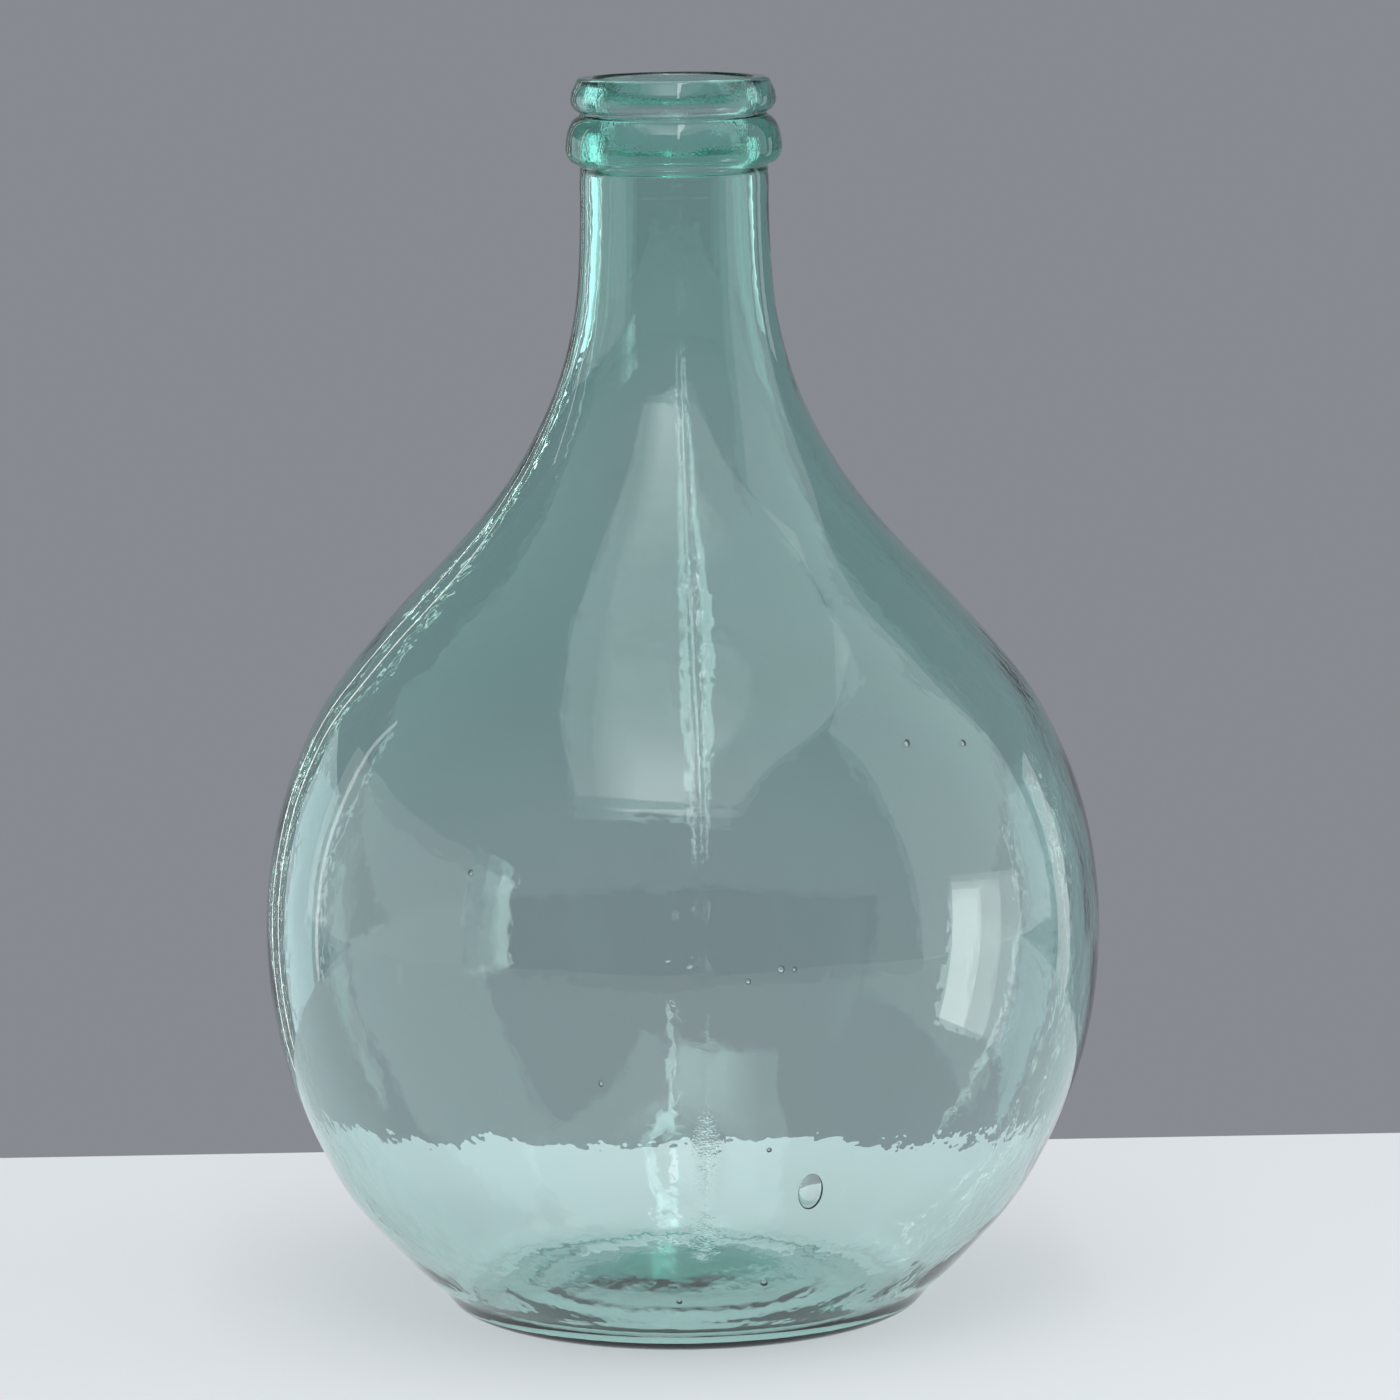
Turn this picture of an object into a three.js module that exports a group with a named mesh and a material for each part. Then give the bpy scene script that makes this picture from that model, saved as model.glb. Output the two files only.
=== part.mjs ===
// Glass carboy, 13.6 litres to the brim: one blown vessel with a narrow neck and a wide, round belly.
//
// The real carboy is a single piece of glass. It is stored here as its eight named zones, cut where the
// glassmaker's forming lines run, so that the hollow stays open and each wall keeps its own shape:
//   punt, heel, lower_belly, upper_belly, shoulder, neck, neck_ring, lip
// Neighbouring zones share one flat or cylindrical cut face and never overlap.
//
// Millimetres, +Z up, origin at the centre of the foot, on the surface that the carboy stands on.

import * as THREE from 'three';

// ---- Driving dimensions ---------------------------------------------------------------------------

const TOTAL_HEIGHT = 434;
const BELLY_RADIUS = 147;
const BELLY_HEIGHT = 134; // height of the widest girth
const FOOT_RADIUS = 76; // outer edge of the ring that it stands on
const FOOT_RING_WIDTH = 8;
const NECK_RADIUS = 32.9;
const COLLAR_RADIUS = 37.7;
const LIP_RADIUS = 35.8;
const MOUTH_RADIUS = 27.6; // bore inside the lip
const SEALING_FACE_WIDTH = 3; // flat top of the lip

// Where one zone ends and the next begins.
const PUNT_RADIUS = 64;
const HEEL_TOP = 44;
const GIRTH = BELLY_HEIGHT;
const BELLY_TOP = 202;
const SHOULDER_TOP = 300;
const PARTING_LINE = 399.2; // where the finish mould met the body mould
const GROOVE_HEIGHT = 421.6; // waist between the collar and the lip

// Slightly pushed-up bottom, thickest at the axis where the last of the glass gathered.
const PUNT_RISE = 7.2; // underside, at the axis
const FLOOR_RISE = 15.5; // inside, at the axis
const PUNT_EDGE_RISE = 1; // underside, at PUNT_RADIUS
const FLOOR_EDGE_RISE = 6.5; // inside, at PUNT_RADIUS
const HEEL_CORNER = 5.6; // height at which the inside wall begins to round into the floor

// Collar and lip.
const COLLAR_FOOT = 404; // where the collar leaves the straight band above the parting line
const COLLAR_HEIGHT = 409.3; // widest girth of the collar
const COLLAR_SHOULDER = 11.4; // how far the collar's upper curve climbs
const GROOVE_RADIUS = NECK_RADIUS - 0.4;
const LIP_HEIGHT = 426.6; // widest girth of the lip
const EDGE_ROUND = 1.3; // rounding of the sealing face's two edges
const BORE_FLARE = 0.5; // how much wider the bore is at the groove than inside the lip

const TURN_STEPS = 48; // facets round the axis

// The side wall from the foot to the parting line: outer radius, height, wall thickness.
const SIDE_WALL = [
  [FOOT_RADIUS + 4.6, 1.2, 3.2],
  [102, 22, 2.5],
  [123, 48, 2.5],
  [141.2, 90, 2.6],
  [BELLY_RADIUS, BELLY_HEIGHT, 2.8],
  [142.2, 175, 3.3],
  [128.5, 210, 3.9],
  [110.7, 235, 4.3],
  [88.1, 260, 4.6],
  [69.6, 280, 4.6],
  [55.1, 300, 4.4],
  [42.6, 325, 4.7],
  [35.7, 350, 5.4],
  [33.3, 375, 5.9],
  [NECK_RADIUS, PARTING_LINE, 6],
];

// ---- Outline helpers ------------------------------------------------------------------------------

// An outline point: distance from the axis, then height.
const at = (radius, height) => new THREE.Vector2(radius, height);

const outerWall = new THREE.SplineCurve(SIDE_WALL.map(([radius, height]) => at(radius, height)));

// The inner wall stands one wall thickness inside the outer one, measured square to the glass.
const innerWall = new THREE.SplineCurve(
  SIDE_WALL.map(([radius, height, thickness], index) => {
    const along = outerWall.getTangent(index / (SIDE_WALL.length - 1));
    return at(radius - along.y * thickness, height + along.x * thickness);
  }),
);

// Radius of a rising curve at a height, found by halving its range.
function radiusAt(curve, height) {
  let low = 0;
  let high = 1;
  for (let round = 0; round < 40; round += 1) {
    const middle = (low + high) / 2;
    if (curve.getPoint(middle).y < height) low = middle;
    else high = middle;
  }
  return curve.getPoint((low + high) / 2).x;
}

// Points up a rising curve between two heights, both ends included.
function climb(curve, bottom, top, steps) {
  const heights = Array.from({ length: steps + 1 }, (_, step) => bottom + ((top - bottom) * step) / steps);
  return heights.map((height) => at(radiusAt(curve, height), height));
}

// Points on an elliptical arc, its angles in degrees measured from the outward direction.
function arc(radius, height, reach, rise, fromAngle, toAngle, steps) {
  const turn = (step) => THREE.MathUtils.degToRad(fromAngle + ((toAngle - fromAngle) * step) / steps);
  return Array.from({ length: steps + 1 }, (_, step) =>
    at(radius + reach * Math.cos(turn(step)), height + rise * Math.sin(turn(step))),
  );
}

// ---- Zones ----------------------------------------------------------------------------------------

const GLASS = { color: 0x9fc9c4, roughness: 0.06, metalness: 0, transparent: true, opacity: 0.35 };

// Turns an outline, listed counter-clockwise with the axis on its left, into a named mesh.
function turned(name, outline) {
  const geometry = new THREE.LatheGeometry(outline, TURN_STEPS);
  geometry.rotateX(Math.PI / 2);
  const mesh = new THREE.Mesh(geometry, new THREE.MeshStandardMaterial(GLASS));
  mesh.name = name;
  return mesh;
}

// A zone whose two faces are the outer and the inner side wall.
function wallZone(name, bottom, top, steps) {
  const outside = climb(outerWall, bottom, top, steps);
  const inside = climb(innerWall, bottom, top, steps).reverse();
  return turned(name, [...outside, ...inside, outside[0]]);
}

// The slightly pushed-up disc in the middle of the bottom: a low bell above, a shallow hollow below.
function punt() {
  const steps = 8;
  const radii = Array.from({ length: steps + 1 }, (_, step) => (PUNT_RADIUS * step) / steps);
  const bell = (edge, middle) =>
    radii.map((radius) => at(radius, edge + (middle - edge) * (1 - (radius / PUNT_RADIUS) ** 2) ** 2));
  return turned('punt', [...bell(PUNT_EDGE_RISE, PUNT_RISE), ...bell(FLOOR_EDGE_RISE, FLOOR_RISE).reverse()]);
}

// The ring at the bottom: it carries the flat foot and rounds up into the belly.
function heel() {
  const footInner = FOOT_RADIUS - FOOT_RING_WIDTH;
  const wallReach = 3; // how far each end of the inner corner's curve keeps its own direction
  const floorReach = at(9, -2.8); // the floor dips a little between the punt and the wall
  const outside = climb(outerWall, SIDE_WALL[0][1], HEEL_TOP, 7);
  const inside = climb(innerWall, HEEL_CORNER, HEEL_TOP, 6).reverse();
  const cornerTop = inside[inside.length - 1];
  const downTheWall = cornerTop.clone().sub(inside[inside.length - 2]).normalize();
  const floorEdge = at(PUNT_RADIUS, FLOOR_EDGE_RISE);
  const corner = new THREE.CubicBezierCurve(
    cornerTop,
    cornerTop.clone().addScaledVector(downTheWall, wallReach),
    floorEdge.clone().add(floorReach),
    floorEdge,
  ).getPoints(5);
  return turned('heel', [
    at(PUNT_RADIUS, PUNT_EDGE_RISE),
    at(footInner, 0),
    at(FOOT_RADIUS, 0),
    ...outside,
    ...inside,
    ...corner.slice(1),
    at(PUNT_RADIUS, PUNT_EDGE_RISE),
  ]);
}

// The rounded collar under the lip, widest low down, with the short straight band beneath it.
function neckRing() {
  const undersideRise = COLLAR_HEIGHT - COLLAR_FOOT;
  const underside = arc(NECK_RADIUS, COLLAR_HEIGHT, COLLAR_RADIUS - NECK_RADIUS, undersideRise, -80, 0, 5);
  const topSide = arc(GROOVE_RADIUS, COLLAR_HEIGHT, COLLAR_RADIUS - GROOVE_RADIUS, COLLAR_SHOULDER, 0, 84, 7);
  const boreRadius = radiusAt(innerWall, PARTING_LINE);
  return turned('neck_ring', [
    at(NECK_RADIUS, PARTING_LINE),
    at(NECK_RADIUS - 0.1, COLLAR_FOOT - 0.8),
    ...underside,
    ...topSide.slice(1),
    at(GROOVE_RADIUS, GROOVE_HEIGHT),
    at(MOUTH_RADIUS + BORE_FLARE, GROOVE_HEIGHT),
    at(boreRadius, COLLAR_HEIGHT),
    at(boreRadius, PARTING_LINE),
    at(NECK_RADIUS, PARTING_LINE),
  ]);
}

// The thick lip: widest in its lower third, leaning in to a narrower, flat sealing face.
function lip() {
  const undersideRise = LIP_HEIGHT - GROOVE_HEIGHT - 0.6;
  const cornerHeight = TOTAL_HEIGHT - EDGE_ROUND;
  const faceInner = MOUTH_RADIUS + EDGE_ROUND;
  const faceOuter = faceInner + SEALING_FACE_WIDTH;
  return turned('lip', [
    at(GROOVE_RADIUS, GROOVE_HEIGHT),
    ...arc(GROOVE_RADIUS, LIP_HEIGHT, LIP_RADIUS - GROOVE_RADIUS, undersideRise, -84, 0, 5),
    at(LIP_RADIUS - 0.5, LIP_HEIGHT + 2.6),
    at(LIP_RADIUS - 1.4, LIP_HEIGHT + 4.6),
    ...arc(faceOuter, cornerHeight, EDGE_ROUND + 0.4, EDGE_ROUND, 15, 90, 3),
    ...arc(faceInner, cornerHeight, EDGE_ROUND, EDGE_ROUND, 90, 180, 3),
    at(MOUTH_RADIUS, LIP_HEIGHT),
    at(MOUTH_RADIUS + BORE_FLARE, GROOVE_HEIGHT),
    at(GROOVE_RADIUS, GROOVE_HEIGHT),
  ]);
}

// ---- Assembly -------------------------------------------------------------------------------------

const carboy = new THREE.Group();
carboy.add(
  punt(),
  heel(),
  wallZone('lower_belly', HEEL_TOP, GIRTH, 7),
  wallZone('upper_belly', GIRTH, BELLY_TOP, 5),
  wallZone('shoulder', BELLY_TOP, SHOULDER_TOP, 7),
  wallZone('neck', SHOULDER_TOP, PARTING_LINE, 7),
  neckRing(),
  lip(),
);

export default carboy;
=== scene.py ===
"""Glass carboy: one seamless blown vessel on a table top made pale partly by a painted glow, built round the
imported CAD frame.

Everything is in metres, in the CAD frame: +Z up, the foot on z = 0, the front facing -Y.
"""

import math

import bpy
import numpy as np
from mathutils import Matrix, Vector, noise


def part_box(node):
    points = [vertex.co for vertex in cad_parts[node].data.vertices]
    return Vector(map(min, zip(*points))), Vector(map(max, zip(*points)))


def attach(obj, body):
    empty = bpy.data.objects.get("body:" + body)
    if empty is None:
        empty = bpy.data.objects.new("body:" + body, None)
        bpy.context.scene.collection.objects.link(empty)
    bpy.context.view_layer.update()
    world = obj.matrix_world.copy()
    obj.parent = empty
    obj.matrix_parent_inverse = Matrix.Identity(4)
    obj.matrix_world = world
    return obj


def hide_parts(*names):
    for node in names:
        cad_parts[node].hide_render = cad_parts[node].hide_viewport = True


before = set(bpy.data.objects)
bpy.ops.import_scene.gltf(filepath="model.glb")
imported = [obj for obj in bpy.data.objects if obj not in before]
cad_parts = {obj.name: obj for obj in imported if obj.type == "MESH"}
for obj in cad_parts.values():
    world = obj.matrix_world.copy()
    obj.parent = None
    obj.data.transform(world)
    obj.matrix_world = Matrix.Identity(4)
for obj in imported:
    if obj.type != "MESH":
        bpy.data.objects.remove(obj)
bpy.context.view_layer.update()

MM = 0.001
TURN_STEPS = 256  # facets of the glass round the axis
GLASS_NODES = ("punt", "heel", "lower_belly", "upper_belly", "shoulder", "neck", "neck_ring", "lip")


# ---- Measures taken from the frame ----------------------------------------------------------------

def rings(node):
    """The heights at which a CAD node has a ring of points, each with its smallest and largest radius."""
    found = {}
    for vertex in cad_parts[node].data.vertices:
        height = round(vertex.co.z, 5)
        found.setdefault(height, []).append(math.hypot(vertex.co.x, vertex.co.y))
    return [(height, min(radii), max(radii)) for height, radii in sorted(found.items())]


def side_wall():
    """Heights, inner radii and outer radii of the side wall, from the heel's top to the parting line."""
    levels = []
    for node in ("lower_belly", "upper_belly", "shoulder", "neck"):
        levels += rings(node)[0 if not levels else 1:]
    return [np.array(column) for column in zip(*levels)]


def distinct(points):
    """The points from the axis outwards, with those that share a place given once."""
    kept = []
    for point in sorted(points):
        if not kept or math.dist(point, kept[-1]) > 0.1 * MM:
            kept.append(point)
    return kept


def heel_sides():
    """The heel's outer and inner points below its top, as (radius, height), both from the bottom up."""
    outer, inner = [], []
    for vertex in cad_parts["heel"].data.vertices:
        radius, height = math.hypot(vertex.co.x, vertex.co.y), vertex.co.z
        if height > HEEL_TOP - MM:
            continue
        if vertex.normal.z < 0 and radius > FOOT_OUTER + MM:
            outer.append((radius, height))
        elif vertex.normal.z > 0 and radius > PUNT_RADIUS + MM:
            inner.append((radius, height))
    return distinct(outer), distinct(inner)


def heights_at(node, radius):
    """The lowest and the highest CAD point of a node at a distance from the axis."""
    heights = [vertex.co.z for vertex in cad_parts[node].data.vertices
               if abs(math.hypot(vertex.co.x, vertex.co.y) - radius) < 0.5 * MM]
    return min(heights), max(heights)


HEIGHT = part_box("lip")[1].z
BELLY_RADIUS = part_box("upper_belly")[1].x
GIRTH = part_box("upper_belly")[0].z
HEEL_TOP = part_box("heel")[1].z
PUNT_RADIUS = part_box("punt")[1].x
UNDERSIDE_MIDDLE, FLOOR_MIDDLE = heights_at("punt", 0.0)
UNDERSIDE_EDGE, FLOOR_EDGE = heights_at("punt", PUNT_RADIUS)
COLLAR_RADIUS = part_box("neck_ring")[1].x
PARTING_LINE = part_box("neck_ring")[0].z
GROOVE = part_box("lip")[0].z
LIP_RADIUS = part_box("lip")[1].x
FOOT_INNER, FOOT_OUTER = rings("heel")[0][1:]
HEEL_OUTER, HEEL_INNER = heel_sides()
WALL_HEIGHTS, WALL_INNER, WALL_OUTER = side_wall()
NECK_BORE, NECK_RADIUS = WALL_INNER[-1], WALL_OUTER[-1]
FACE_INNER, FACE_OUTER = rings("lip")[-1][1:]
MOUTH_RADIUS = min(ring[1] for ring in rings("lip"))
EDGE_ROUND = FACE_INNER - MOUTH_RADIUS


# ---- The glass outline ----------------------------------------------------------------------------

FINE_STEP = 1.3 * MM  # spacing of outline points in the fine zones
WALL_STEP = 4.6 * MM  # and up the rest of the side wall
FOOT_ZONE = (-MM, 14 * MM)  # a fine zone is given by its lowest and its highest height
NECK_ZONE = (PARTING_LINE - 8 * MM, HEIGHT)

GROOVE_RADIUS = NECK_RADIUS - 0.4 * MM
COLLAR_FOOT = PARTING_LINE + 4.8 * MM  # where the collar leaves the straight band
COLLAR_WIDEST = PARTING_LINE + 10.1 * MM
COLLAR_SHOULDER = 11.4 * MM  # how far the collar's upper curve climbs
LIP_WIDEST = GROOVE + 5 * MM


def spline(points, spacing=FINE_STEP):
    """A natural cubic spline through the points, sampled at even steps along its length."""
    points = np.array([tuple(point) for point in points], dtype=float)
    knots = np.concatenate(([0.0], np.cumsum(np.hypot(*np.diff(points, axis=0).T))))
    gaps = np.diff(knots)
    slopes = np.diff(points, axis=0) / gaps[:, None]
    system = np.eye(len(points))
    target = np.zeros_like(points)
    for i in range(1, len(points) - 1):
        system[i, i - 1:i + 2] = gaps[i - 1], 2 * (gaps[i - 1] + gaps[i]), gaps[i]
        target[i] = 6 * (slopes[i] - slopes[i - 1])
    bend = np.linalg.solve(system, target)
    curve = []
    for place in np.linspace(0, knots[-1], round(knots[-1] / spacing) + 1):
        i = min(len(gaps) - 1, int(np.searchsorted(knots, place, side="right")) - 1)
        gap, left, right = gaps[i], knots[i + 1] - place, place - knots[i]
        cubic = (bend[i] * left ** 3 + bend[i + 1] * right ** 3) / (6 * gap)
        from_left = (points[i] / gap - bend[i] * gap / 6) * left
        from_right = (points[i + 1] / gap - bend[i + 1] * gap / 6) * right
        curve.append(Vector(cubic + (from_left + from_right)))
    return curve


def thinned(curve, *fine_zones):
    """The curve with its points set further apart, except between the heights of each fine zone."""
    kept = [curve[0]]
    for point in curve[1:-1]:
        is_fine = any(low < point.y < high for low, high in fine_zones)
        gap = FINE_STEP if is_fine else WALL_STEP
        if (point - kept[-1]).length > 0.98 * gap:
            kept.append(point)
    return [*kept, curve[-1]]


def arc(radius, height, reach, rise, start, end, steps=10):
    """Points on an elliptical arc; angles in degrees from the outward direction."""
    angles = [math.radians(start + (end - start) * step / steps) for step in range(steps + 1)]
    return [Vector((radius + reach * math.cos(a), height + rise * math.sin(a))) for a in angles]


def bell(edge, middle, steps=22):
    """The pushed-up bottom, from the axis out to the punt's edge."""
    radii = [PUNT_RADIUS * step / steps for step in range(steps + 1)]
    rises = [(middle - edge) * (1 - (radius / PUNT_RADIUS) ** 2) ** 2 for radius in radii]
    return [Vector((radius, edge + rise)) for radius, rise in zip(radii, rises)]


def outside_outline():
    """From the axis under the bottom, out over the foot ring and up the outside to the parting line."""
    foot_middle = (FOOT_INNER + FOOT_OUTER) / 2
    foot = [(FOOT_INNER - 2 * MM, 0.7 * MM), (FOOT_INNER + MM, 0.2 * MM), (foot_middle, 0.0),
            (FOOT_OUTER - MM, 0.1 * MM), (FOOT_OUTER + 2.4 * MM, 0.9 * MM)]
    wall = list(zip(WALL_OUTER, WALL_HEIGHTS))
    side = spline([(PUNT_RADIUS, UNDERSIDE_EDGE), *foot, *HEEL_OUTER, *wall])
    for point in side:
        point.y = max(0.0, point.y)
    return bell(UNDERSIDE_EDGE, UNDERSIDE_MIDDLE) + thinned(side, FOOT_ZONE, CHILL_ZONE, NECK_ZONE)[1:]


def collar_outline():
    """The short straight band above the parting line and the collar, up to the groove."""
    band_radius = NECK_RADIUS - 0.1 * MM
    band = [Vector((band_radius, PARTING_LINE + 0.9 * MM)), Vector((band_radius, COLLAR_FOOT - MM))]
    under = arc(NECK_RADIUS, COLLAR_WIDEST, COLLAR_RADIUS - NECK_RADIUS, COLLAR_WIDEST - COLLAR_FOOT, -80, 0)
    over = arc(GROOVE_RADIUS, COLLAR_WIDEST, COLLAR_RADIUS - GROOVE_RADIUS, COLLAR_SHOULDER, 0, 84)
    return band + under + over[1:] + [Vector((GROOVE_RADIUS, GROOVE))]


def lip_outline():
    """The lip's underside and side, and the rounded outer edge of its sealing face."""
    under = arc(GROOVE_RADIUS, LIP_WIDEST, LIP_RADIUS - GROOVE_RADIUS, LIP_WIDEST - GROOVE - 0.6 * MM, -84, 0)
    side = [(LIP_RADIUS - 0.5 * MM, LIP_WIDEST + 2.6 * MM), (LIP_RADIUS - 1.4 * MM, LIP_WIDEST + 4.6 * MM)]
    corner = arc(FACE_OUTER, HEIGHT - EDGE_ROUND, EDGE_ROUND + 0.4 * MM, EDGE_ROUND, 15, 90, 6)
    return under + [Vector(point) for point in side] + corner


def inside_outline():
    """From the sealing face down the bore and the inside wall to the floor and the axis."""
    corner = arc(FACE_INNER, HEIGHT - EDGE_ROUND, EDGE_ROUND, EDGE_ROUND, 90, 180, 6)
    bore = [corner[-1], (MOUTH_RADIUS, LIP_WIDEST), (MOUTH_RADIUS + 0.5 * MM, GROOVE),
            (NECK_BORE, GROOVE - 12 * MM)]
    wall = list(zip(WALL_INNER, WALL_HEIGHTS))[::-1]
    side = spline([*bore, *wall, *HEEL_INNER[::-1], (PUNT_RADIUS, FLOOR_EDGE)])
    return corner[:-1] + thinned(side, FOOT_ZONE, NECK_ZONE) + bell(FLOOR_EDGE, FLOOR_MIDDLE)[-2::-1]


# ---- Relief: how far the blown surface strays from the turned outline ------------------------------

SEAM_ANGLES = (math.radians(-87.1), math.radians(92.9))  # the two halves of the body mould meet here
SEAM_WIDTH = 0.9 * MM
SEAM_RISE = 0.10 * MM
SEAM_BEAD = 7 * MM  # the seam's height wanders over this length
NECK_LINE_HEIGHT = PARTING_LINE - 3.6 * MM  # a fine line runs round the neck here
NECK_LINE_RISE = 0.16 * MM
CHILL_ANGLE = math.radians(-87)
CHILL_SPREAD = math.radians(22)
CHILL_HEIGHT = 195 * MM
CHILL_TILT = -2.5 * MM  # how far the ripples drop across their spread
CHILL_BAND = 5 * MM
CHILL_ZONE = (CHILL_HEIGHT - 2 * CHILL_BAND, CHILL_HEIGHT + 2 * CHILL_BAND)
CHILL_LENGTH = 4.6 * MM
CHILL_RISE = 0.07 * MM
BASE_RING_RADIUS = 51 * MM  # where the mould's bottom plate met its body
BASE_RING_WIDTH = 2.2 * MM
BASE_RING_DEPTH = 0.5 * MM
CALM_HEIGHT = 3 * MM  # the foot stays true below this height,
CALM_RAMP = 12 * MM  # and the relief grows to its full height over this much more

# Waves of the surface, longest first: rise, length and a shift that gives each its own pattern.
OUTER_WAVES = ((0.25 * MM, 100 * MM, 0), (0.05 * MM, 26 * MM, 7))
INNER_WAVES = ((0.40 * MM, 70 * MM, 13), (0.16 * MM, 24 * MM, 29), (0.07 * MM, 10 * MM, 41))


def seam_strength(angle, radius, height, width):
    """How close a place is to a seam: 1 on it, fading to 0 over the given width."""
    if not HEEL_TOP < height < PARTING_LINE:
        return 0.0
    nearest = min(abs(math.remainder(angle - seam, math.tau)) for seam in SEAM_ANGLES) * radius
    return math.exp(-((nearest / width) ** 2))


def chill_relief(angle, height):
    """A few fine, level ripples low on the front of the shoulder, where the glass first met the mould."""
    across = math.remainder(angle - CHILL_ANGLE, math.tau) / CHILL_SPREAD
    offset = height - CHILL_HEIGHT - CHILL_TILT * across
    fade = math.exp(-across ** 2 - (offset / CHILL_BAND) ** 2)
    return CHILL_RISE * fade * math.sin(math.tau * offset / CHILL_LENGTH)


def base_relief(radius, height):
    """The ring that the mould's bottom plate left on the underside."""
    if height > UNDERSIDE_MIDDLE or radius > PUNT_RADIUS:
        return 0.0
    return BASE_RING_DEPTH * math.exp(-(((radius - BASE_RING_RADIUS) / BASE_RING_WIDTH) ** 2))


def wave(point, length, shift):
    """Smooth noise, about -1 to 1, that changes over the given length."""
    return noise.noise(point / length + Vector((shift, shift, shift)))


def waves(point, layers):
    return sum(rise * wave(point, length, shift) for rise, length, shift in layers)


def outer_relief(point, angle, radius):
    unevenness = 1 + 0.5 * wave(point, SEAM_BEAD, 3)
    ridge = SEAM_RISE * unevenness * seam_strength(angle, radius, point.z, SEAM_WIDTH)
    neck_line = NECK_LINE_RISE * math.exp(-(((point.z - NECK_LINE_HEIGHT) / MM) ** 2))
    return waves(point, OUTER_WAVES) + ridge + neck_line + chill_relief(angle, point.z)


# ---- The glass mesh -------------------------------------------------------------------------------

SEAM_COLUMNS = (-2.4, -1.6, -0.9, -0.4, 0.0, 0.4, 0.9, 1.6, 2.4)  # millimetres from a seam, at the girth
SEAM_CLEARANCE = 3.4 * MM  # the even columns keep this far from a seam

OUTSIDE_CRINKLE = 0.12
INSIDE_CRINKLE = 0.9
SEAM_CRINKLE = 3.6  # added along a seam
SEAM_CRINKLE_WIDTH = 5 * SEAM_WIDTH
MOUTH_CRINKLE = 3.1  # added inside the mouth, growing over MOUTH_RAMP above the parting line
MOUTH_RAMP = 12 * MM


def turn_angles():
    """Even steps round the axis, with extra ones close to each seam."""
    even = [math.tau * step / TURN_STEPS for step in range(TURN_STEPS)]
    offsets = [column * MM / BELLY_RADIUS for column in SEAM_COLUMNS]
    close = [(seam + offset) % math.tau for seam in SEAM_ANGLES for offset in offsets]
    reach = SEAM_CLEARANCE / BELLY_RADIUS
    kept = [a for a in even if all(abs(math.remainder(a - seam, math.tau)) > reach for seam in SEAM_ANGLES)]
    return sorted(kept + close)


def outline_normals(outline):
    """Unit normals that point out of the glass; the outline runs with the glass on its left."""
    normals = []
    for before, after in zip([outline[0], *outline[:-1]], [*outline[1:], outline[-1]]):
        along = (after - before).normalized()
        normals.append(Vector((along.y, -along.x)))
    return normals


def ring_faces(low, high):
    """Faces between two neighbouring rows, either of which may be a single point on the axis."""
    count = max(len(low), len(high))
    around = [(i, (i + 1) % count) for i in range(count)]
    if len(low) == 1:
        return [(low[0], high[j], high[i]) for i, j in around]
    if len(high) == 1:
        return [(low[i], low[j], high[0]) for i, j in around]
    return [(low[i], low[j], high[j], high[i]) for i, j in around]


def hammering(point, angle, is_inside):
    """How strongly a place carries the fine crinkle: little outside but for the seams, most in the mouth."""
    if not is_inside:
        radius = math.hypot(point.x, point.y)
        return OUTSIDE_CRINKLE + SEAM_CRINKLE * seam_strength(angle, radius, point.z, SEAM_CRINKLE_WIDTH)
    return INSIDE_CRINKLE + MOUTH_CRINKLE * min(1.0, max(0.0, (point.z - PARTING_LINE) / MOUTH_RAMP))


def turned_glass():
    """The vessel's skin: its vertices, its faces and the strength of the fine crinkle at each vertex."""
    outside = outside_outline() + collar_outline() + lip_outline()
    outline = outside + inside_outline()
    vertices, faces, rows, crinkle = [], [], [], []
    angles = turn_angles()
    directions = [Vector((math.cos(angle), math.sin(angle), 0)) for angle in angles]
    for index, (point, normal) in enumerate(zip(outline, outline_normals(outline))):
        radius, height = point
        is_inside = index >= len(outside)
        if radius < 1e-6:
            rows.append([len(vertices)])
            vertices.append(Vector((0.0, 0.0, height)))
            crinkle.append(hammering(vertices[-1], 0.0, is_inside))
            continue
        row = []
        for angle, direction in zip(angles, directions):
            place = direction * radius + Vector((0, 0, height))
            if is_inside:
                shift = waves(place, INNER_WAVES)
            else:
                growth = min(1.0, max(0.0, (height - CALM_HEIGHT) / CALM_RAMP))
                shift = growth * outer_relief(place, angle, radius) - base_relief(radius, height)
            outward = direction * normal.x + Vector((0, 0, normal.y))
            row.append(len(vertices))
            vertices.append(place + outward * shift)
            crinkle.append(hammering(place, angle, is_inside))
        rows.append(row)
    for low, high in zip(rows, rows[1:]):
        faces += ring_faces(low, high)
    return vertices, faces, crinkle


# ---- Seeds: bubbles of air in the glass -----------------------------------------------------------

# Angle round the axis (-90 faces the camera), height, width, length and lean. Angles are in degrees and
# sizes in millimetres.
SEEDS = (
    (-71.3, 66.7, 8.7, 15.2, -6),
    (-77.0, 145.9, 2.4, 2.6, 0),
    (-81.4, 142.4, 1.8, 2.0, 0),
    (-75.2, 145.7, 1.6, 1.8, 0),
    (-52.1, 214.1, 2.2, 2.8, 20),
    (-40.4, 211.3, 2.4, 2.4, 0),
    (-78.2, 83.5, 1.8, 1.8, 0),
    (-91.4, 24.0, 2.6, 2.0, 80),
    (-76.0, 31.0, 3.6, 2.6, 70),
    (-101.0, 108.0, 1.6, 2.2, 0),
    (-120.0, 176.0, 1.8, 2.2, 10),
)


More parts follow.
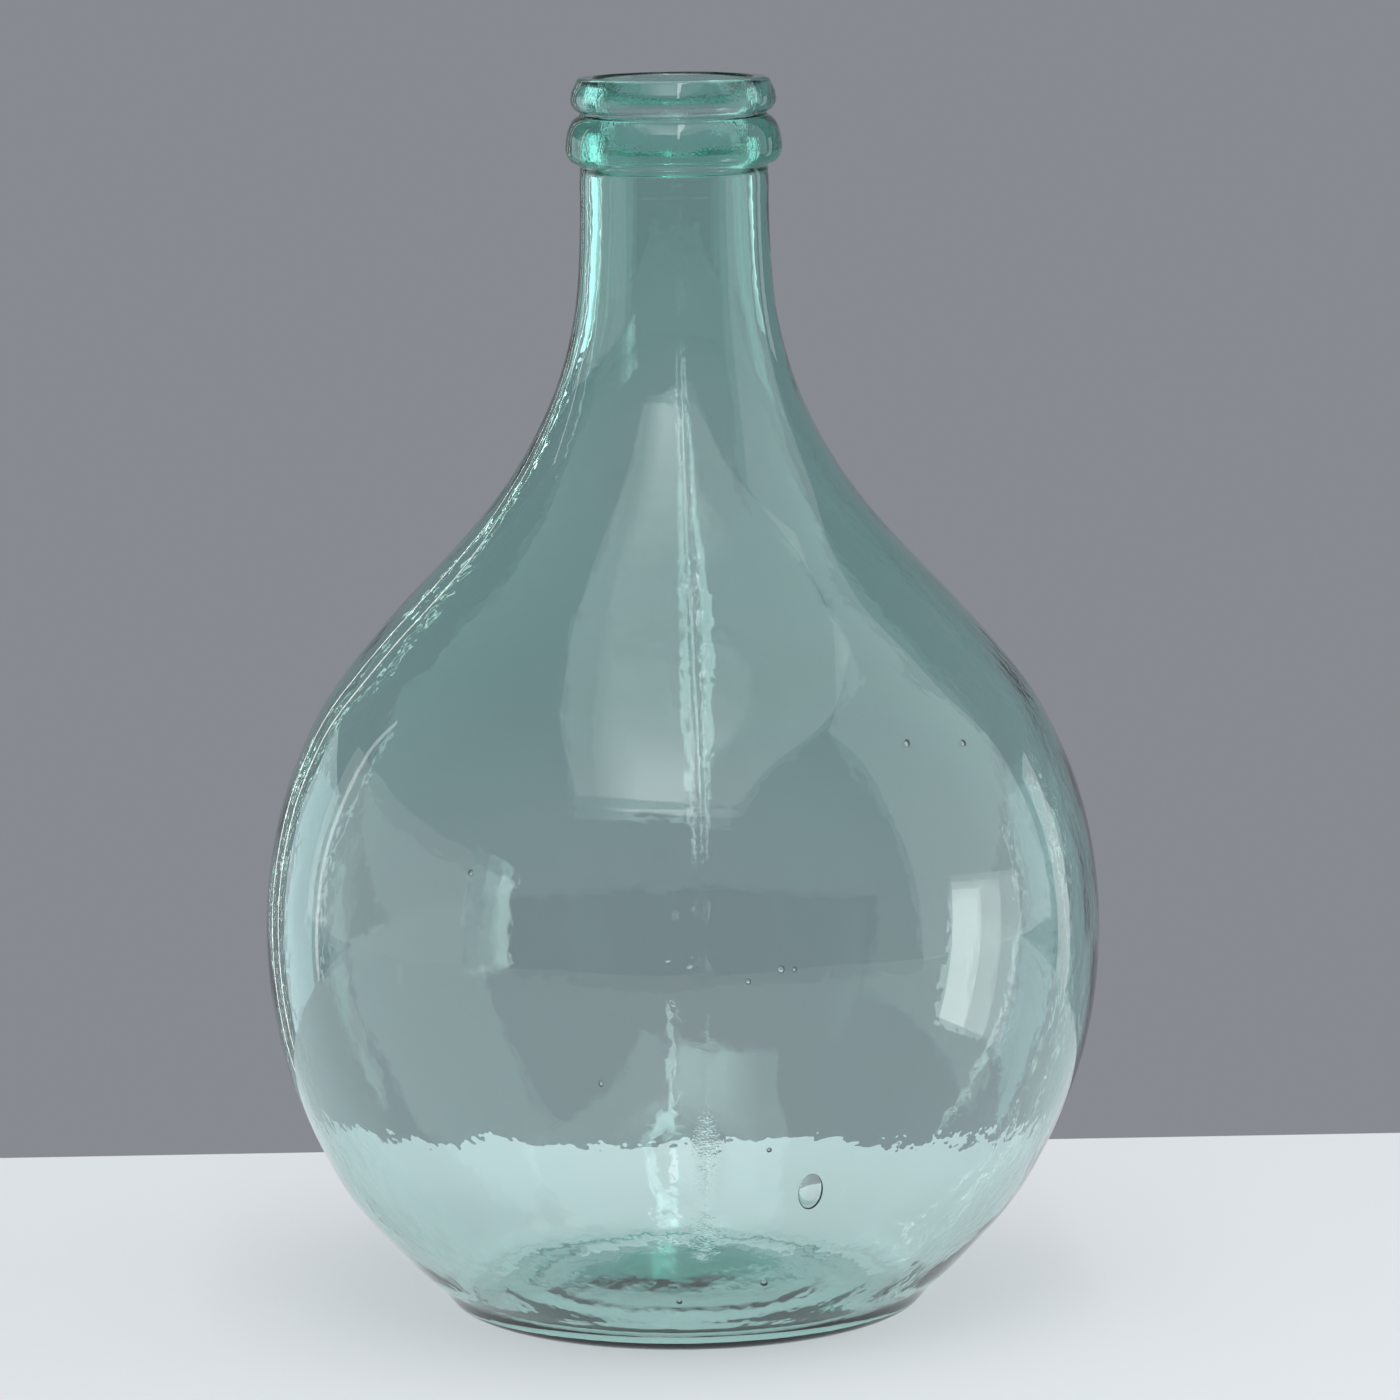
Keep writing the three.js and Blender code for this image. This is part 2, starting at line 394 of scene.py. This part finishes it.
def wall_frame(angle, height):
    """The middle of the side wall at a place, with its outward, upward and sideways directions."""
    outer_radii, outer_heights = zip(*HEEL_OUTER, *zip(WALL_OUTER, WALL_HEIGHTS))
    inner_radii, inner_heights = zip(*HEEL_INNER, *zip(WALL_INNER, WALL_HEIGHTS))
    below, outer, above = np.interp([height - MM, height, height + MM], outer_heights, outer_radii)
    slope = float(above - below) / (2 * MM)
    inner = float(np.interp(height, inner_heights, inner_radii))
    direction = Vector((math.cos(angle), math.sin(angle), 0))
    upward = (direction * slope + Vector((0, 0, 1))).normalized()
    sideways = Vector((-math.sin(angle), math.cos(angle), 0))
    middle = direction * (float(outer) + inner) / 2 + Vector((0, 0, height))
    return middle, sideways.cross(upward), upward, sideways


def seed(angle, height, width, length, lean, around=20, along=12):
    """A closed, flattened bubble with its faces turned inward, as the inside of a hollow."""
    middle, outward, upward, sideways = wall_frame(math.radians(angle), height * MM)
    tilt = math.radians(lean)
    long_way = upward * math.cos(tilt) + sideways * math.sin(tilt)
    wide_way = sideways * math.cos(tilt) - upward * math.sin(tilt)
    deep = min(0.6, 0.35 * width) * MM  # half its depth, which the wall's thickness limits
    vertices, rows = [], []
    for step in range(along + 1):
        latitude = math.pi * (step / along - 0.5)
        swell = math.cos(latitude)
        turns = 1 if step in (0, along) else around
        rows.append([])
        for turn in range(turns):
            spin = math.tau * turn / turns
            offset = long_way * (length * MM / 2 * math.sin(latitude))
            offset += wide_way * (width * MM / 2 * swell * math.cos(spin))
            offset += outward * (deep * swell * math.sin(spin))
            rows[-1].append(len(vertices))
            vertices.append(middle + offset)
    faces = [face for low, high in zip(rows, rows[1:]) for face in ring_faces(low, high)]
    return vertices, faces


def signed_volume(vertices, faces):
    """Positive where the faces look away from what they enclose."""
    return sum(vertices[face[0]].dot(vertices[face[i]].cross(vertices[face[i + 1]])) / 6
               for face in faces for i in range(1, len(face) - 1))


def glass_mesh():
    vertices, faces, crinkle = turned_glass()
    for place in SEEDS:
        bubble, shell = seed(*place)
        if signed_volume(bubble, shell) > 0:
            shell = [face[::-1] for face in shell]
        faces += [tuple(index + len(vertices) for index in face) for face in shell]
        vertices += bubble
        crinkle += [0.0] * len(bubble)
    mesh = bpy.data.meshes.new("carboy_glass")
    mesh.from_pydata([tuple(vertex) for vertex in vertices], [], faces)
    mesh.update()
    mesh.attributes.new("crinkle", "FLOAT", "POINT").data.foreach_set("value", crinkle)
    mesh.shade_smooth()
    return mesh


# ---- Materials ------------------------------------------------------------------------------------

GLASS_IOR = 1.52
GLASS_TINT = (0.04, 0.785, 0.66, 1)  # the glass takes out red light most
GLASS_DENSITY = 60.0
COARSE_CRINKLE = (5.0 * MM, 0.065 * MM)  # length from crest to crest, and rise
FINE_CRINKLE = (0.8 * MM, 0.030 * MM)


def glass_material():
    material = bpy.data.materials.new("recycled_glass")
    material.use_nodes = True
    nodes, links = material.node_tree.nodes, material.node_tree.links
    shader = nodes["Principled BSDF"]
    shader.inputs["Base Color"].default_value = (1, 1, 1, 1)
    shader.inputs["Roughness"].default_value = 0.0
    shader.inputs["IOR"].default_value = GLASS_IOR
    shader.inputs["Transmission Weight"].default_value = 1.0
    volume = nodes.new("ShaderNodeVolumeAbsorption")
    volume.inputs["Color"].default_value = GLASS_TINT
    volume.inputs["Density"].default_value = GLASS_DENSITY
    links.new(volume.outputs["Volume"], nodes["Material Output"].inputs["Volume"])
    links.new(crinkle_normal(nodes, links), shader.inputs["Normal"])
    return material


def noise_height(nodes, links, length, strength):
    """Noise that changes over the given length, times a strength."""
    place = nodes.new("ShaderNodeTexCoord")
    texture = nodes.new("ShaderNodeTexNoise")
    texture.inputs["Scale"].default_value = 1 / length
    texture.inputs["Detail"].default_value = 1.0
    height = nodes.new("ShaderNodeMath")
    height.operation = "MULTIPLY"
    links.new(place.outputs["Object"], texture.inputs["Vector"])
    links.new(texture.outputs["Fac"], height.inputs[0])
    links.new(strength, height.inputs[1])
    return height.outputs["Value"]


def strength_over_one(nodes, links, strength):
    """The part of a strength that is above 1."""
    excess = nodes.new("ShaderNodeMath")
    excess.operation = "SUBTRACT"
    excess.inputs[1].default_value = 1.0
    links.new(strength, excess.inputs[0])
    positive = nodes.new("ShaderNodeMath")
    positive.operation = "MAXIMUM"
    positive.inputs[1].default_value = 0.0
    links.new(excess.outputs["Value"], positive.inputs[0])
    return positive.outputs["Value"]


def crinkle_normal(nodes, links):
    """The crinkle of the glass, with a finer grain added where it is strong."""
    attribute = nodes.new("ShaderNodeAttribute")
    attribute.attribute_name = "crinkle"
    strength = attribute.outputs["Fac"]
    layers = ((COARSE_CRINKLE, strength), (FINE_CRINKLE, strength_over_one(nodes, links, strength)))
    normal = None
    for (length, rise), layer_strength in layers:
        bump = nodes.new("ShaderNodeBump")
        bump.inputs["Strength"].default_value = 1.0
        bump.inputs["Distance"].default_value = rise
        links.new(noise_height(nodes, links, length, layer_strength), bump.inputs["Height"])
        if normal:
            links.new(normal, bump.inputs["Normal"])
        normal = bump.outputs["Normal"]
    return normal


def glowing_table_material():
    material = bpy.data.materials.new("table_with_painted_glow")
    material.use_nodes = True
    shader = material.node_tree.nodes["Principled BSDF"]
    shader.inputs["Base Color"].default_value = (0.40, 0.415, 0.43, 1)
    shader.inputs["Roughness"].default_value = 0.8
    shader.inputs["Specular IOR Level"].default_value = 0.2
    # Painted light: the table glows evenly. The glow gives much of its brightness over the darker base colour
    # and fills in the shadow the glass casts round the foot.
    shader.inputs["Emission Color"].default_value = (0.93, 0.97, 1.0, 1)
    shader.inputs["Emission Strength"].default_value = 0.47
    return material


# ---- Stage ----------------------------------------------------------------------------------------

TABLE_BACK = 0.250  # behind the carboy's axis
TABLE_FRONT = -2.2
TABLE_HALF_WIDTH = 1.6
TABLE_THICKNESS = 0.03
TABLE_TURN = math.radians(1.7)  # the table stands a touch askew to the camera
TABLE_GAP = 0.15 * MM  # keeps the foot from sharing a plane with the table
STUDIO_GREY = (0.244, 0.256, 0.280, 1)


def table():
    middle = (TABLE_BACK + TABLE_FRONT) / 2
    turned_middle = (-middle * math.sin(TABLE_TURN), middle * math.cos(TABLE_TURN))
    bpy.ops.mesh.primitive_cube_add(size=1)
    top = bpy.context.object
    top.name = "table_top"
    top.scale = (2 * TABLE_HALF_WIDTH, TABLE_BACK - TABLE_FRONT, TABLE_THICKNESS)
    top.rotation_euler.z = TABLE_TURN
    top.location = (*turned_middle, -TABLE_THICKNESS / 2 - TABLE_GAP)
    top.data.materials.append(glowing_table_material())


def backdrop():
    world = bpy.data.worlds.new("studio_grey")
    bpy.context.scene.world = world
    world.use_nodes = True
    background = world.node_tree.nodes["Background"]
    background.inputs["Color"].default_value = STUDIO_GREY
    background.inputs["Strength"].default_value = 1.0


def softbox(name, place, width, height, radiance, colour=(1, 1, 1)):
    """An area light of a given brightness, hidden from the camera itself."""
    data = bpy.data.lights.new(name, "AREA")
    data.shape = "RECTANGLE"
    data.size = width
    data.size_y = height
    data.energy = radiance * math.pi * width * height
    data.color = colour
    light = bpy.data.objects.new(name, data)
    bpy.context.scene.collection.objects.link(light)
    light.location = place
    light.visible_camera = False
    return light


def upright_softbox(name, azimuth, spread, low, high, distance, radiance, colour=(1, 1, 1)):
    """A softbox facing the carboy's axis. Angles are in degrees, seen from the belly's girth: azimuth runs
    from the camera's side toward +X, and low and high are the elevations of its two level edges."""
    turn = math.radians(azimuth)
    width = 2 * distance * math.tan(math.radians(spread / 2))
    bottom, top = (GIRTH + distance * math.tan(math.radians(edge)) for edge in (low, high))
    place = Vector((distance * math.sin(turn), -distance * math.cos(turn), (bottom + top) / 2))
    light = softbox(name, place, width, top - bottom, radiance, colour)
    inward = Vector((-place.x, -place.y, 0))
    light.rotation_euler = inward.to_track_quat("-Z", "Y").to_euler()


def overhead_softbox(name, left, right, front, back, height, turn, radiance, colour=(1, 1, 1)):
    """A level softbox above; the four edges are multiples of its height over the belly."""
    rise = height - GIRTH
    place = Vector(((left + right) / 2 * rise, -(front + back) / 2 * rise, height))
    light = softbox(name, place, (right - left) * rise, (front - back) * rise, radiance, colour)
    light.rotation_euler.z = math.radians(turn)


DAYLIGHT = (0.80, 0.95, 1.0)
CREAM = (1.0, 0.97, 0.90)
GLOW_STEPS = 6  # nested softboxes, so that the overhead light brightens gradually toward its front edge
REFLECTOR_STEPS = ((0.118, 0.150, 0.8), (0.082, 0.142, 1.1), (0.046, 0.134, 1.8))  # width, height, radiance
REFLECTOR_SIDE = 0.300  # distance to the right of the axis
REFLECTOR_NEAR_EDGE = -0.163
REFLECTOR_HEIGHT = 0.120
REFLECTOR_LEAN = math.radians(11)


def overhead_lights():
    """A wide light that brightens toward the camera, and a narrow one that glitters along the front seam."""
    overhead_softbox("overhead", -0.55, 0.60, 1.24, -0.30, 1.8, -15, 0.85)
    for step in range(GLOW_STEPS):
        left, right, back = -0.46 + 0.036 * step, 0.20 - 0.030 * step, 0.18 + 0.135 * step
        overhead_softbox(f"overhead_glow_{step}", left, right, 1.24, back, 1.79 - 0.01 * step, -15, 0.333)
    overhead_softbox("overhead_strip", 0.085, 0.165, 1.95, -0.15, 1.72, 3, 5.0)


def left_lights():
    """The window's daylight and the pale lines of its frame."""
    upright_softbox("left_fill", -91, 62, -5, 22, 1.7, 0.60)
    upright_softbox("left_window", -129, 20, -22, 13, 2.2, 1.15, DAYLIGHT)
    upright_softbox("left_frame_near", -116, 1.6, -20, 30, 2.15, 2.2)
    upright_softbox("left_frame_far", -145, 0.8, -20, 45, 2.15, 3.0, CREAM)
    upright_softbox("left_frame_end", -153, 0.6, -20, 45, 2.15, 3.0, CREAM)


def right_lights():
    upright_softbox("right_wall", 91, 52, -5, 55, 1.5, 0.80)
    upright_softbox("right_band", 125, 8, -14, 14, 1.9, 1.0)


def reflector():
    """A card close to the right side, brightest at its near edge; it shows in the glass, not on the table."""
    for step, (width, height, radiance) in enumerate(REFLECTOR_STEPS):
        place = Vector((REFLECTOR_SIDE - step * MM, REFLECTOR_NEAR_EDGE + width / 2, REFLECTOR_HEIGHT))
        card = softbox(f"right_reflector_{step}", place, width, height, radiance)
        card.rotation_euler = (math.radians(90), REFLECTOR_LEAN, math.radians(90))
        card.visible_diffuse = False


def camera_lamps():
    """Small lamps near the camera, for the points of light on the front."""
    upright_softbox("camera_lamp_high", 5.5, 1.6, 13.0, 14.2, 2.6, 12)
    upright_softbox("camera_lamp_low", 2.0, 1.6, 2.2, 3.0, 2.6, 8)
    upright_softbox("camera_lamp_left", -6.0, 2.4, -5.4, -4.6, 2.2, 8)


def lighting():
    overhead_lights()
    left_lights()
    right_lights()
    reflector()
    camera_lamps()


def camera():
    """A long lens a little above the mouth, looking slightly down, turned a touch from level."""
    distance, eye_height, side = 2.25, 0.553, 0.0069
    pitch, roll = math.radians(8.535), math.radians(-0.664)
    forward = Vector((0, math.cos(pitch), -math.sin(pitch)))
    level_right = Vector((1, 0, 0))
    level_up = level_right.cross(forward)
    right = level_right * math.cos(roll) + level_up * math.sin(roll)
    up = level_up * math.cos(roll) - level_right * math.sin(roll)
    data = bpy.data.cameras.new("camera")
    data.lens = 166.3
    data.sensor_width = 36
    data.clip_start = 0.05
    view = bpy.data.objects.new("camera", data)
    view.matrix_world = Matrix.Translation((side, -distance, eye_height)) @ \
        Matrix((right, up, -forward)).transposed().to_4x4()
    bpy.context.scene.collection.objects.link(view)
    bpy.context.scene.camera = view


# ---- Assembly -------------------------------------------------------------------------------------

camera()
table()
backdrop()
lighting()

glass = bpy.data.objects.new("carboy_glass", glass_mesh())
bpy.context.scene.collection.objects.link(glass)
glass.data.materials.append(glass_material())
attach(glass, "root")
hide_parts(*GLASS_NODES)

colours = bpy.context.scene.view_settings
colours.view_transform = "Standard"
colours.look = "None"

light_paths = bpy.context.scene.cycles
light_paths.max_bounces = 24  # enough for light to cross both walls and the thick bottom
light_paths.transmission_bounces = 24
